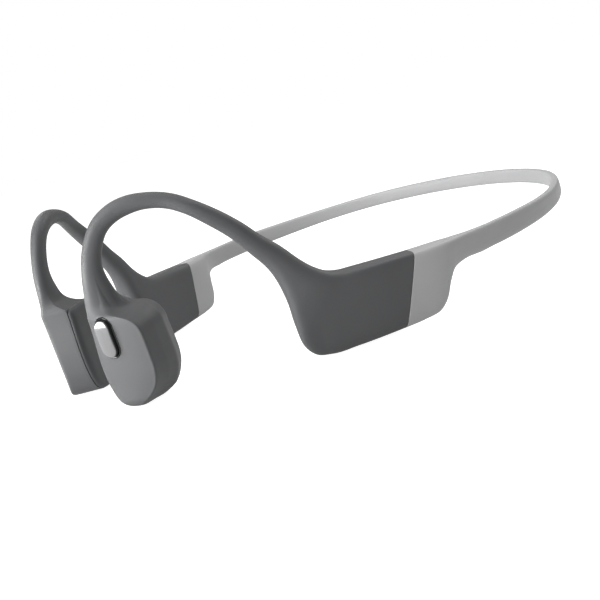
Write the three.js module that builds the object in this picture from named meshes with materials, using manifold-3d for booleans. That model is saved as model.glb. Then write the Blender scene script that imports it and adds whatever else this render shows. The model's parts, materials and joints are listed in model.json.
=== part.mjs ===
// Bone conduction headphones: two pods on ear hooks, two electronics boxes and a neckband.
// Millimetres. +X is the wearer's left, -Y the wearer's front, +Z up.
// Most pieces follow one vertical "sheet" that runs from the left pod, along the left
// box and round the neckband. A place on it is (s, n, z): s along the sheet from the pod,
// n outwards from it (away from the head) and z up. The right side is its mirror image.
import * as THREE from 'three';
import { mergeVertices } from 'three/addons/utils/BufferGeometryUtils.js';
import Module from 'manifold-3d';

const wasm = await Module();
wasm.setup();

// ---- driving dimensions -------------------------------------------------------------
const GAP = 0.3;                // between pieces that touch on the real object
const WALL = 1.3;               // moulded shell wall
const STANCE = 0.0739;          // nose-down lean, radians: pods and boxes both touch the table
const BOX_LEAN = 0.12;          // the boxes lean towards the neck, mm per mm of height
const BOX_LEAN_TOP = -10;       // above this height they stand upright
const SEAM = -7.2;              // n of the seam between a pod's shell and its skin pad
const SKIN_FACE = -8.8;         // n of the flat face that touches the cheekbone
const FACET_BASE = 3.3;         // n of the pod's flat outer facet at s = 0
const FACET_SLOPE = 0.54;       // and how far it rises per mm of s
const BUTTON = { s: 0.3, z: -5.7, length: 10.4, width: 4.8, depth: 2.5, proud: 1.1 };
const BEZEL = { length: 11.5, width: 5.9, depth: 1.4 };
const TRANSDUCER = { s: 6, z: -14.4, radius: 5.8, height: 4.6, wall: 0.8, floor: 0.9, outerFace: 0.9 };
const MAGNET = { radius: 3.6, height: 2.6 };
const COIL = { inner: 3.95, outer: 4.6, height: 3.1, outerFace: -0.6 };
const SPRING = { radius: 5.7, slotOuter: 4.4, slotInner: 3.3, slotSweep: 1.6, thickness: 0.4, n: -4.6 };
const MICROPHONE = { s: 0.6, n: -1.4, z: -21.6, radius: 1.7, height: 1.2 };
const STRAND = { wireRadius: 0.5, cableRadius: 0.45, aside: 0.7, channel: 1.5, channelHalf: 0.95 };
const BAND = {
  start: 104, thickness: 2.8, steps: 15, zFront: -14.5, zRear: -15.3, heightFront: 6.5, heightRear: 4.8,
};
const BATTERY = { s: 70, z: -19.6, length: 30, height: 12.5, thickness: 4.6 };
const BOARD = { s: 65, n: 1.2, z: -16.2, length: 23, height: 8.6, thickness: 0.8 };
const SHIELD = { s: 67, n: -0.4, length: 12, height: 7, thickness: 1.6 };
const ANTENNA = { s: 56.5, n: -0.3, length: 2.2, height: 6, thickness: 1.2 };
const SOCKET = { s: 70.2, lift: 2.2, length: 8.9, thickness: 3.2, height: 6.2, wall: 0.4, tongue: 0.7 };
const COVER = { length: 9, width: 3.6, thickness: 1.2, recess: 0.1 };
const VOLUME = { places: [56.8, 62.4], length: 4.4, width: 3.0, height: 2.2, recess: 0.1 };
const SWITCH = { size: 3, height: 0.9, clear: 0.6 };   // clear: travel and gap behind a button
const LAMP = { s: 80, diameter: 1.6, height: 2.4 };
const SEGMENTS = 16;            // round pieces
const RING = 14;                // points round a hook, box or cap section

// ---- materials ----------------------------------------------------------------------
function material(color, roughness, metalness = 0) {
  return new THREE.MeshStandardMaterial({ color, roughness, metalness });
}
const softGrey = material(0x55565a, 0.55);
const paleGrey = material(0xa2a2a4, 0.5);
const glossGrey = material(0x6c6d70, 0.15);
const blackPlastic = material(0x1b1c1e, 0.4);
const padGrey = material(0x3f4043, 0.7);
const titanium = material(0xb7b4ae, 0.35, 1);
const steel = material(0xc3c6c9, 0.3, 1);
const magnetMetal = material(0x9aa0a6, 0.25, 1);
const copper = material(0xb87333, 0.35, 1);
const cableBlack = material(0x222326, 0.6);
const batteryFoil = material(0xc9ccd0, 0.35, 0.8);
const boardGreen = material(0x1f4d36, 0.5);
const lampClear = material(0xe8eef2, 0.2);

// ---- the sheet ----------------------------------------------------------------------
// The stretch along the pod is straight, so that the pod's faces are flat.
const POD_POINT = new THREE.Vector2(17.6, -10);
const POD_HEADING = new THREE.Vector2(0.635, 0.7725).normalize();
const straight = [-20, -8, 17, 25].map((along) => POD_POINT.clone().addScaledVector(POD_HEADING, along));
const curved = [
  [39.5, 15.6], [44.9, 24], [49.8, 32], [53.9, 40], [58.2, 49], [61.8, 58], [65.8, 67.5], [68.7, 77],
  [70, 87], [69.4, 98], [67.3, 108], [62.8, 119.2], [55.4, 130.2], [44.6, 140.6], [31, 147.8],
  [15.5, 152.1], [0, 153.4],
].map(([x, y]) => new THREE.Vector2(x, y));
const leftHalf = [...straight, ...curved].map((p) => new THREE.Vector3(p.x, p.y, 0));
const rightHalf = leftHalf.slice(0, -1).reverse().map((p) => new THREE.Vector3(-p.x, p.y, 0));
const plan = new THREE.CatmullRomCurve3([...leftHalf, ...rightHalf], false, 'centripetal');
plan.arcLengthDivisions = 2000;
const planLength = plan.getLength();
const POD_START = 20;                             // curve length ahead of s = 0
const REAR = planLength / 2 - POD_START;          // s at the middle of the neckband

function sheetFrame(s) {
  const u = (s + POD_START) / planLength;
  const at = plan.getPointAt(u);
  const along = plan.getTangentAt(u);
  return { at, along, out: new THREE.Vector3(along.y, -along.x, 0) };
}

function leanAt(s, z) {
  const share = THREE.MathUtils.smoothstep(s, 44, 54) * (1 - THREE.MathUtils.smoothstep(s, 92, 104));
  return BOX_LEAN * share * Math.min(0, z - BOX_LEAN_TOP);
}

function onSheet(s, n, z) {
  const { at, out } = sheetFrame(s);
  return at.clone().addScaledVector(out, n + leanAt(s, z)).setZ(z);
}

// A frame for a small piece: x along the sheet, y towards the head, z up.
function placement(s, n, z, lean = 0) {
  const { along, out } = sheetFrame(s);
  const matrix = new THREE.Matrix4().makeBasis(along, out.clone().negate(), new THREE.Vector3(0, 0, 1));
  matrix.multiply(new THREE.Matrix4().makeRotationX(lean));
  return matrix.setPosition(onSheet(s, n, z));
}
const LEAN_ANGLE = Math.atan(BOX_LEAN);

// ---- solids -------------------------------------------------------------------------
function solidFrom(points, faces) {
  const geometry = new THREE.BufferGeometry();
  geometry.setAttribute('position', new THREE.Float32BufferAttribute(points.flatMap((p) => p.toArray()), 3));
  let volume = 0;
  for (const [a, b, c] of faces) {
    volume += points[a].dot(new THREE.Vector3().crossVectors(points[b], points[c]));
  }
  const outward = volume > 0 ? faces : faces.map(([a, b, c]) => [a, c, b]);
  geometry.setIndex(outward.flat());
  return geometry;
}

function wallFaces(first, count, rows, flip) {
  const faces = [];
  for (let row = 0; row < rows - 1; row += 1) {
    for (let k = 0; k < count; k += 1) {
      const a = first + row * count + k;
      const b = first + row * count + ((k + 1) % count);
      const quad = [[a, b, b + count], [a, b + count, a + count]];
      faces.push(...(flip ? quad.map(([p, q, r]) => [p, r, q]) : quad));
    }
  }
  return faces;
}

// A closed skin through rings of points, with a flat fan on each end.
function loft(rings) {
  const count = rings[0].length;
  const points = rings.flat();
  const faces = wallFaces(0, count, rings.length, false);
  const last = (rings.length - 1) * count;
  for (let k = 1; k < count - 1; k += 1) {
    faces.push([0, k + 1, k]);
    faces.push([last, last + k, last + k + 1]);
  }
  return solidFrom(points, faces);
}

// The same with a way through it along inner rings: a tube or an open shell.
function hollowLoft(outer, inner) {
  const count = outer[0].length;
  const rows = outer.length;
  const points = [...outer.flat(), ...inner.flat()];
  const shift = rows * count;
  const faces = [...wallFaces(0, count, rows, false), ...wallFaces(shift, count, rows, true)];
  for (const [row, flip] of [[0, true], [rows - 1, false]]) {
    for (let k = 0; k < count; k += 1) {
      const a = row * count + k;
      const b = row * count + ((k + 1) % count);
      const quad = [[a, b, b + shift], [a, b + shift, a + shift]];
      faces.push(...(flip ? quad.map(([p, q, r]) => [p, r, q]) : quad));
    }
  }
  return solidFrom(points, faces);
}

function toManifold(geometry) {
  const bare = geometry.clone();
  bare.deleteAttribute('normal');
  bare.deleteAttribute('uv');
  const merged = mergeVertices(bare, 1e-4);
  return new wasm.Manifold(new wasm.Mesh({
    numProp: 3,
    vertProperties: Float32Array.from(merged.attributes.position.array),
    triVerts: Uint32Array.from(merged.index.array),
  }));
}

function cut(geometry, ...tools) {
  let body = toManifold(geometry);
  for (const tool of tools) body = body.subtract(toManifold(tool));
  const mesh = body.getMesh();
  const result = new THREE.BufferGeometry();
  result.setAttribute('position', new THREE.Float32BufferAttribute(mesh.vertProperties, 3));
  result.setIndex(Array.from(mesh.triVerts));
  return result;
}

function mirrored(geometry) {
  const copy = geometry.clone();
  copy.scale(-1, 1, 1);
  if (!copy.index) copy.setIndex([...Array(copy.attributes.position.count).keys()]);
  const index = Array.from(copy.index.array);
  for (let k = 0; k < index.length; k += 3) [index[k + 1], index[k + 2]] = [index[k + 2], index[k + 1]];
  copy.setIndex(index);
  return copy;
}

function block(length, thickness, height, at) {
  return new THREE.BoxGeometry(length, thickness, height).applyMatrix4(at);
}

// A pill standing on z, from z = 0 up to the given depth.
function pill(length, width, depth, bevel = 0) {
  const radius = width / 2 - bevel;
  const half = length / 2 - width / 2;
  const outline = new THREE.Shape();
  outline.absarc(0, half, radius, 0, Math.PI);
  outline.absarc(0, -half, radius, Math.PI, 2 * Math.PI);
  outline.closePath();
  return new THREE.ExtrudeGeometry(outline, {
    depth: depth - 2 * bevel, curveSegments: 5, steps: 1,
    bevelEnabled: bevel > 0, bevelSize: bevel, bevelThickness: bevel, bevelSegments: 2,
  }).translate(0, 0, bevel);
}

// A piece turned about the axis across the sheet; its profile runs towards the head.
function turned(profile, at) {
  const points = profile.map(([radius, along]) => new THREE.Vector2(radius, along));
  return new THREE.LatheGeometry(points, SEGMENTS).applyMatrix4(at);
}

// ---- sections -----------------------------------------------------------------------
// A rounded section between an outer and an inner rail point, each (s, z).
function section(outerRail, innerRail, middle, half, square, inset = 0) {
  const centre = [(outerRail[0] + innerRail[0]) / 2, (outerRail[1] + innerRail[1]) / 2];
  const reach = [(outerRail[0] - innerRail[0]) / 2, (outerRail[1] - innerRail[1]) / 2];
  const shrink = 1 - inset / Math.hypot(...reach);
  const ring = [];
  for (let k = 0; k < RING; k += 1) {
    const angle = (2 * Math.PI * (k + 0.5)) / RING;
    const across = Math.sign(Math.cos(angle)) * Math.abs(Math.cos(angle)) ** (2 / square) * shrink;
    const deep = Math.sign(Math.sin(angle)) * Math.abs(Math.sin(angle)) ** (2 / square) * (half - inset);
    ring.push(onSheet(centre[0] + reach[0] * across, middle + deep, centre[1] + reach[1] * across));
  }
  return ring;
}

// Stations: [outer s, outer z, inner s, inner z, middle n, half thickness, squareness].
const HOOK_STATIONS = [
  [-2.2, 8.6, 4.4, 8.9, -1.1, 2.4, 2.3],
  [-1.4, 12.0, 4.5, 11.8, -1.25, 2.2, 2.2],
  [-0.2, 15.5, 5.2, 14.6, -1.5, 2.1, 2.2],
  [1.8, 19.4, 6.9, 18.0, -1.8, 2.1, 2.2],
  [5.6, 24.0, 9.2, 20.5, -2.0, 2.15, 2.2],
  [10.6, 26.7, 12.6, 22.1, -1.9, 2.25, 2.2],
  [16.2, 27.6, 16.8, 22.8, -1.6, 2.25, 2.2],
  [22.1, 26.8, 20.7, 22.7, -1.2, 2.25, 2.2],
  [27.9, 24.7, 25.6, 21.3, -0.8, 2.3, 2.3],
  [33.3, 21.3, 30.3, 18.4, -0.4, 2.4, 2.3],
  [38.5, 16.9, 34.8, 14.0, -0.2, 2.6, 2.4],
  [43.0, 12.1, 38.8, 9.1, 0, 2.9, 2.5],
  [46.6, 7.4, 42.0, 3.4, 0, 3.3, 2.7],
  [50.0, 3.6, 44.9, -2.0, 0, 3.7, 3.0],
];
const BOX_STATIONS = [
  [50.3, 3.2, 45.1, -2.5, 0, 3.75, 3.0],
  [54.6, -2.5, 46.9, -12.0, 0, 4.2, 3.8],
  [57.2, -5.3, 47.1, -18.8, 0, 4.5, 4.4],
  [60.2, -7.5, 48.2, -24.4, 0, 4.6, 5.0],
  [63.5, -8.5, 50.6, -28.2, 0, 4.6, 5.5],
  [66.5, -8.8, 54.4, -29.5, 0, 4.6, 6.0],
  [72.5, -9.3, 62.0, -29.6, 0, 4.6, 6.0],
  [83.0, -10.2, 75.5, -29.6, 0, 4.6, 6.0],
];
const CAP_STATIONS = [
  [83.3, -10.2, 75.8, -29.6, 0, 4.6, 6.0],
  [86.8, -10.4, 81.8, -29.5, 0, 4.6, 6.0],
  [89.8, -10.5, 86.6, -28.8, 0, 4.5, 5.5],
  [92.2, -10.6, 89.0, -26.7, 0, 4.2, 5.0],
  [94.4, -10.75, 91.0, -22.8, 0, 3.6, 4.5],
  [97.0, -10.85, 93.6, -19.3, 0, 2.8, 4.0],
  [100.0, -11.0, 97.6, -17.9, 0, 2.0, 3.6],
  [103.7, -11.1, 103.4, -17.8, 0, 1.6, 3.4],
];
const CAVITY_OPEN = { first: 2, last: 3 };   // stations between which a box or cap is a full cavity

function sectionOf([so, zo, si, zi, middle, half, square], inset = 0) {
  return section([so, zo], [si, zi], middle, half, square, inset);
}

// A narrow channel through a station's middle, for the wire and the cable.
function channelOf([so, zo, si, zi, middle]) {
  const centre = [(so + si) / 2, (zo + zi) / 2];
  const share = STRAND.channel / Math.hypot(so - si, zo - zi);
  const reach = [(so - si) * share, (zo - zi) * share];
  const outer = [centre[0] + reach[0], centre[1] + reach[1]];
  const inner = [centre[0] - reach[0], centre[1] - reach[1]];
  return section(outer, inner, middle, STRAND.channelHalf, 2.4);
}

// A thin round strand through stations, beside the channel's middle.
function strandAlong(stations, aside, radius) {
  return loft(stations.map(([so, zo, si, zi, middle]) => {
    const size = Math.hypot(so - si, zo - zi);
    const across = [(so - si) / size, (zo - zi) / size];
    return [0, 1, 2, 3, 4, 5].map((k) => {
      const angle = (Math.PI * k) / 3;
      const reach = aside + radius * Math.cos(angle);
      const s = (so + si) / 2 + across[0] * reach;
      return onSheet(s, middle + radius * Math.sin(angle), (zo + zi) / 2 + across[1] * reach);
    });
  }));
}

// ---- pod ----------------------------------------------------------------------------
// Slices from the bottom up: [front s, front z, rear s, rear z, ridge s, drop, pod share].
// drop lowers the outer face where the bottom rounds off; the pod share fades into the hook.
const POD_SLICES = [
  [0.6, -26.3, 5.3, -26.4, 3.2, 6.2, 1],
  [-1.2, -25.8, 8.9, -25.8, 3.8, 3.6, 1],
  [-2.6, -24.7, 11.2, -24.7, 5.2, 1.5, 1],
  [-3.85, -22.9, 12.9, -22.8, 6.9, 0.4, 1],
  [-4.7, -20.0, 14.3, -20.0, 8.8, 0, 1],
  [-5.1, -16.0, 15.0, -16.0, 9.6, 0, 1],
  [-5.0, -12.0, 14.95, -12.0, 9.9, 0, 1],
  [-4.6, -8.0, 14.8, -8.0, 9.9, 0, 1],
  [-4.1, -4.2, 14.4, -4.4, 9.0, 0.1, 1],
  [-3.9, -1.9, 13.5, -2.0, 7.0, 0.5, 1],
  [-3.75, 0.1, 11.3, -0.3, 4.6, 1.4, 0.85],
  [-3.5, 2.6, 7.9, 1.7, 3.0, 1.8, 0.6],
  [-3.1, 5.2, 5.9, 4.2, 2.2, 1.8, 0.3],
  [-2.3, 8.2, 4.5, 8.4, 1.4, 1.8, 0],
];

function facetHeight(s) {
  return FACET_BASE + FACET_SLOPE * s;
}

function podRing([so, zo, si, zi, ridge, drop, share], inset = 0) {
  const front = so + inset;
  const rear = si - inset;
  const top = (s) => facetHeight(s) - drop - inset * Math.hypot(1, FACET_SLOPE);
  const low = SEAM - (inset > 0 ? 2 : 0);
  const podShape = [
    [front + 0.3, low], [front, low + 0.9], [front, -1.2], [front + 0.9, top(front + 0.9)],
    [(front + ridge) / 2, top((front + ridge) / 2)], [ridge - 0.9, top(ridge - 0.9)],
    [ridge + 0.5, top(ridge) - 0.2], [ridge + 1.5, top(ridge) - 1.2],
    [(ridge + 1.5) * 0.35 + rear * 0.65, top(ridge) * 0.38 - 0.4], [rear - 0.2, -0.6], [rear, -2.2],
    [rear, low + 0.9], [rear - 0.3, low], [(front + rear) / 2, low],
  ];
  const [hookMiddle, hookHalf] = [-1.1, 2.4 - inset];
  return podShape.map(([s, n], k) => {
    const angle = Math.PI + (0.15 - k / podShape.length) * 2 * Math.PI;
    const hookS = (so + si) / 2 + ((rear - front) / 2) * Math.cos(angle);
    const hookN = hookMiddle + hookHalf * Math.sin(angle);
    const sHere = THREE.MathUtils.lerp(hookS, s, share);
    const along = (sHere - so) / (si - so);
    return onSheet(sHere, THREE.MathUtils.lerp(hookN, n, share), THREE.MathUtils.lerp(zo, zi, along));
  });
}

// The button looks out of the facet: x along it, y down it, z out of it.
function facetPlacement(s, z, lift) {
  const { along, out } = sheetFrame(s);
  const normal = out.clone().addScaledVector(along, -FACET_SLOPE).normalize();
  const up = new THREE.Vector3(0, 0, 1);
  const side = new THREE.Vector3().crossVectors(up, normal);
  const at = onSheet(s, facetHeight(s), z).addScaledVector(normal, lift);
  return new THREE.Matrix4().makeBasis(side, up, normal).setPosition(at);
}

// A hollow shell, open to its skin pad, with a way up into the ear hook.
function podShell() {
  const outside = loft(POD_SLICES.map((slice) => podRing(slice)));
  const inside = loft(POD_SLICES.slice(2, 10).map((slice) => podRing(slice, WALL)));
  return cut(outside, inside, block(2.6, 2.2, 14, placement(1.1, -1.0, 3.6)));
}

function buttonWindow() {
  return pill(BEZEL.length + 2 * GAP, BEZEL.width + 2 * GAP, 6)
    .applyMatrix4(facetPlacement(BUTTON.s, BUTTON.z, -4));
}

const PAD_OUTLINE = new THREE.CatmullRomCurve3([
  [3.2, -26.3], [-1.8, -24.9], [-4.2, -20.8], [-4.9, -14], [-4.2, -6], [-3.4, -1.4], [-0.4, 0.4], [5, 0.5],
  [9.8, 0.1], [13, -2.8], [14.6, -9], [14.7, -16], [13, -22], [8.8, -25.4],
].map(([s, z]) => new THREE.Vector3(s, z, 0)), true, 'centripetal');

function padRing(n, inset) {
  const centre = [5.1, -12.2];
  return PAD_OUTLINE.getPoints(24).slice(0, 24).map((p) => {
    const away = Math.hypot(p.x - centre[0], p.y - centre[1]);
    const keep = 1 - inset / away;
    return onSheet(centre[0] + (p.x - centre[0]) * keep, n, centre[1] + (p.y - centre[1]) * keep);
  });
}

// A plate with a rounded rim, flat where it touches the cheekbone.
function skinPad() {
  return loft([
    padRing(SEAM - GAP, 0.1), padRing(SEAM - GAP - 0.4, 0),
    padRing(SKIN_FACE + 0.4, 0.5), padRing(SKIN_FACE, 2),
  ]);
}

function transducerAt(n) {
  return placement(TRANSDUCER.s, n, TRANSDUCER.z);
}

function disc(radius, height, at) {
  return turned([[0, 0], [radius, 0], [radius, height], [0, height]], at);
}

function yoke() {
  const { radius, height, wall, floor, outerFace } = TRANSDUCER;
  const bore = radius - wall;
  const profile = [[0, 0], [radius, 0], [radius, height], [bore, height], [bore, floor], [0, floor]];
  return turned(profile, transducerAt(outerFace));
}

function magnet() {
  return disc(MAGNET.radius, MAGNET.height, transducerAt(TRANSDUCER.outerFace - TRANSDUCER.floor - GAP));
}

function voiceCoil() {
  const { inner, outer, height, outerFace } = COIL;
  const profile = [[inner, 0], [outer, 0], [outer, height], [inner, height], [inner, 0]];
  return turned(profile, transducerAt(outerFace));
}

function springPlate() {
  const outline = new THREE.Shape();
  outline.absarc(0, 0, SPRING.radius, 0, 2 * Math.PI);
  for (let arm = 0; arm < 3; arm += 1) {
    const from = (arm * 2 * Math.PI) / 3;
    const to = from + SPRING.slotSweep;
    const slot = new THREE.Path();
    slot.absarc(0, 0, SPRING.slotOuter, from, to, false);
    slot.absarc(0, 0, SPRING.slotInner, to, from, true);
    outline.holes.push(slot);
  }
  const plate = new THREE.ExtrudeGeometry(outline, {
    depth: SPRING.thickness, bevelEnabled: false, curveSegments: 5,
  });
  return plate.rotateX(-Math.PI / 2).applyMatrix4(transducerAt(SPRING.n));
}

function microphone() {
  return disc(MICROPHONE.radius, MICROPHONE.height, placement(MICROPHONE.s, MICROPHONE.n, MICROPHONE.z));
}

function hookTube() {
  return hollowLoft(HOOK_STATIONS.map((station) => sectionOf(station)), HOOK_STATIONS.map(channelOf));
}

// ---- boxes --------------------------------------------------------------------------
function boxHousing() {
  const inner = BOX_STATIONS.map((station, k) => (
    k < CAVITY_OPEN.first ? channelOf(station) : sectionOf(station, WALL)));
  return hollowLoft(BOX_STATIONS.map((station) => sectionOf(station)), inner);
}

function rearCap() {
  const inner = CAP_STATIONS.map((station, k) => (
    k > CAVITY_OPEN.last ? channelOf(station) : sectionOf(station, WALL)));
  return hollowLoft(CAP_STATIONS.map((station) => sectionOf(station)), inner);
}

function battery() {
  return block(BATTERY.length, BATTERY.thickness, BATTERY.height,
    placement(BATTERY.s, 0, BATTERY.z, LEAN_ANGLE));
}

function boardPiece({ s, n, length, thickness, height }) {
  return block(length, thickness, height, placement(s, n, BOARD.z, LEAN_ANGLE));
}

// Underside pieces: z = 0 on the box's underside, x along it.
function underside(s, z) {
  return placement(s, 0, z, LEAN_ANGLE);
}
const UNDERSIDE = -29.5;

function undersidePill(s, length, width, from, to, bevel = 0) {
  return pill(length, width, to - from, bevel).rotateZ(Math.PI / 2).translate(0, 0, from)
    .applyMatrix4(underside(s, UNDERSIDE));
}

function undersideBlock(s, length, width, from, to) {
  return new THREE.BoxGeometry(length, width, to - from).translate(0, 0, (from + to) / 2)
    .applyMatrix4(underside(s, UNDERSIDE));
}

// ---- neckband -----------------------------------------------------------------------
const BAND_STATIONS = [];
for (let k = 0; k <= BAND.steps; k += 1) {
  const share = k / BAND.steps;
  const narrow = THREE.MathUtils.smoothstep(share, 0, 0.5);
  const sink = THREE.MathUtils.smoothstep(share, 0, 0.35);
  const s = THREE.MathUtils.lerp(BAND.start, REAR - GAP / 2, share);
  const half = THREE.MathUtils.lerp(BAND.heightFront, BAND.heightRear, narrow) / 2;
  const z = THREE.MathUtils.lerp(BAND.zFront, BAND.zRear, sink);
  BAND_STATIONS.push([s, z + half, s, z - half, 0, BAND.thickness / 2, 3.2]);
}

function bandSleeve() {
  return hollowLoft(BAND_STATIONS.map((station) => sectionOf(station)), BAND_STATIONS.map(channelOf));
}

// ---- assembly -----------------------------------------------------------------------
const headphones = new THREE.Group();
const sides = new THREE.Group();
headphones.add(sides);

function add(name, geometry, look) {
  const mesh = new THREE.Mesh(geometry, look);
  mesh.name = name;
  sides.add(mesh);
}

function addPair(name, geometry, look) {
  add(`left_${name}`, geometry, look);
  add(`right_${name}`, mirrored(geometry), look);
}

addPair('skin_pad', skinPad(), padGrey);
addPair('transducer_yoke', yoke(), steel);
addPair('transducer_magnet', magnet(), magnetMetal);
addPair('voice_coil', voiceCoil(), copper);
addPair('spring_plate', springPlate(), steel);
addPair('microphone', microphone(), steel);
addPair('ear_hook', hookTube(), softGrey);
addPair('hook_wire', strandAlong(HOOK_STATIONS, -STRAND.aside, STRAND.wireRadius), titanium);
addPair('hook_cable', strandAlong(HOOK_STATIONS, STRAND.aside, STRAND.cableRadius), cableBlack);
addPair('band_sleeve', bandSleeve(), paleGrey);
addPair('band_wire', strandAlong(BAND_STATIONS, -STRAND.aside, STRAND.wireRadius), titanium);
addPair('band_cable', strandAlong(BAND_STATIONS, STRAND.aside, STRAND.cableRadius), cableBlack);
add('left_pod_shell', cut(podShell(), buttonWindow()), softGrey);
add('right_pod_shell', mirrored(podShell()), softGrey);

const bezelHole = pill(BUTTON.length + 2 * GAP, BUTTON.width + 2 * GAP, BEZEL.depth + 2)
  .translate(0, 0, -1);
add('button_bezel', cut(pill(BEZEL.length, BEZEL.width, BEZEL.depth), bezelHole)
  .applyMatrix4(facetPlacement(BUTTON.s, BUTTON.z, -BEZEL.depth + 0.1)), blackPlastic);
add('multifunction_button', pill(BUTTON.length, BUTTON.width, BUTTON.depth, 0.35)
  .applyMatrix4(facetPlacement(BUTTON.s, BUTTON.z, BUTTON.proud - BUTTON.depth)), glossGrey);
const switchLift = BUTTON.proud - BUTTON.depth - SWITCH.clear - SWITCH.height / 2;
add('button_switch', new THREE.BoxGeometry(SWITCH.size, SWITCH.size, SWITCH.height)
  .applyMatrix4(facetPlacement(BUTTON.s, BUTTON.z, switchLift)), blackPlastic);

add('left_box_housing', boxHousing(), softGrey);
add('left_rear_cap', rearCap(), paleGrey);
add('battery_cell', battery(), batteryFoil);

const coverHole = undersideBlock(SOCKET.s, COVER.length + 2 * GAP, COVER.width + 2 * GAP, -1, 3);
const volumeHoles = VOLUME.places.map((s) => (
  undersidePill(s, VOLUME.length + 2 * GAP, VOLUME.width + 2 * GAP, -1, 3)));
const lampHole = undersidePill(LAMP.s, LAMP.diameter + 2 * GAP + 0.02, LAMP.diameter + 2 * GAP, -1, 3);
add('right_box_housing', mirrored(cut(boxHousing(), ...volumeHoles, coverHole)), softGrey);
add('right_rear_cap', mirrored(cut(rearCap(), lampHole)), paleGrey);
add('port_cover', mirrored(undersideBlock(
  SOCKET.s, COVER.length, COVER.width, COVER.recess, COVER.recess + COVER.thickness)), padGrey);
const socketTop = SOCKET.lift + SOCKET.height;
const socketBack = socketTop - 2 * SOCKET.wall;
add('charging_socket', mirrored(cut(
  undersideBlock(SOCKET.s, SOCKET.length, SOCKET.thickness, SOCKET.lift, socketTop),
  undersideBlock(SOCKET.s, SOCKET.length - 2 * SOCKET.wall, SOCKET.thickness - 2 * SOCKET.wall,
    SOCKET.lift - 1, socketBack))), steel);
add('socket_tongue', mirrored(undersideBlock(
  SOCKET.s, SOCKET.length - 2.6, SOCKET.tongue, SOCKET.lift + SOCKET.wall, socketBack - GAP)), blackPlastic);
for (const [k, which] of ['up', 'down'].entries()) {
  const s = VOLUME.places[k];
  add(`volume_${which}_button`, mirrored(
    undersidePill(s, VOLUME.length, VOLUME.width, VOLUME.recess, VOLUME.height, 0.2)), padGrey);
  const switchFrom = VOLUME.height + SWITCH.clear;
  add(`volume_${which}_switch`, mirrored(
    undersideBlock(s, SWITCH.size, 2.6, switchFrom, switchFrom + SWITCH.height)), blackPlastic);
}
add('status_light', mirrored(undersidePill(
  LAMP.s, LAMP.diameter + 0.02, LAMP.diameter, COVER.recess, LAMP.height)), lampClear);
add('main_board', mirrored(boardPiece(BOARD)), boardGreen);
add('board_shield', mirrored(boardPiece(SHIELD)), steel);
add('antenna', mirrored(boardPiece(ANTENNA)), copper);

// Nose down until the pods and the boxes' front corners both touch, standing on z = 0.
sides.rotation.x = STANCE;
headphones.updateMatrixWorld(true);
const extent = new THREE.Box3().setFromObject(headphones, true);
const middle = extent.getCenter(new THREE.Vector3());
sides.position.set(-middle.x, -middle.y, -extent.min.z);

export default headphones;
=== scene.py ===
"""Looks of the bone conduction headphones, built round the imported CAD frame.

Most pieces follow the CAD's vertical "sheet": a place is (s, n, z) in millimetres, with s
along the sheet from the pod, n outwards from it and z up. Rings of such points are lofted
into fine skins. The wearer's right side is the mirror image of the left.
"""

import json
import math

import bmesh
import bpy
import numpy as np
from mathutils import Matrix, Vector


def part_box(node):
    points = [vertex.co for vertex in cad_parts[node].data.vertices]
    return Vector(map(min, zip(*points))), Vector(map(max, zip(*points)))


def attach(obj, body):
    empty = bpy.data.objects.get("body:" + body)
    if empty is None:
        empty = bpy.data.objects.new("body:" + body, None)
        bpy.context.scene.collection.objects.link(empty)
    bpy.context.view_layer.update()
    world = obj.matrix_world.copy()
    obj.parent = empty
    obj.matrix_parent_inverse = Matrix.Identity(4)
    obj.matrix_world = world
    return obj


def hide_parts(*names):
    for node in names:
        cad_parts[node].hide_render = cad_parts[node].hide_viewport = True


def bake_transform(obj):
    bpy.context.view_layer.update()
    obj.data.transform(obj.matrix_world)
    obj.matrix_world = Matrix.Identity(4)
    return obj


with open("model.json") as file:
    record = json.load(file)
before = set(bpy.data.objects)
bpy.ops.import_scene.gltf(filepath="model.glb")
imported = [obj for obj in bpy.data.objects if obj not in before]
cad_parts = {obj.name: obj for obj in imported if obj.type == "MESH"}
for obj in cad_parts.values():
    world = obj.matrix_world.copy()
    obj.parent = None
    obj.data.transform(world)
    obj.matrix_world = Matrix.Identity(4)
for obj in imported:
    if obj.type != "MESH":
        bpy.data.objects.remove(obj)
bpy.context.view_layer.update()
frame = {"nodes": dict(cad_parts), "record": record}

MM = 0.001

# ---- the sheet ---------------------------------------------------------------------------
STANCE = 0.0739                  # nose-down lean of the whole object, radians
BOX_LEAN = 0.12
BOX_LEAN_TOP = -10.0
SEAM = -7.2                      # n of the seam between a pod's shell and its skin pad
FACET_BASE = 3.3                 # n of the pod's outer facet at s = 0, and its slope
FACET_SLOPE = 0.54
POD_POINT = np.array([17.6, -10.0])
POD_HEADING = np.array([0.635, 0.7725]) / math.hypot(0.635, 0.7725)
POD_START = 20.0                 # curve length ahead of s = 0
CURVED = [
    (39.5, 15.6), (44.9, 24), (49.8, 32), (53.9, 40), (58.2, 49), (61.8, 58), (65.8, 67.5),
    (68.7, 77), (70, 87), (69.4, 98), (67.3, 108), (62.8, 119.2), (55.4, 130.2),
    (44.6, 140.6), (31, 147.8), (15.5, 152.1), (0, 153.4),
]


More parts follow.
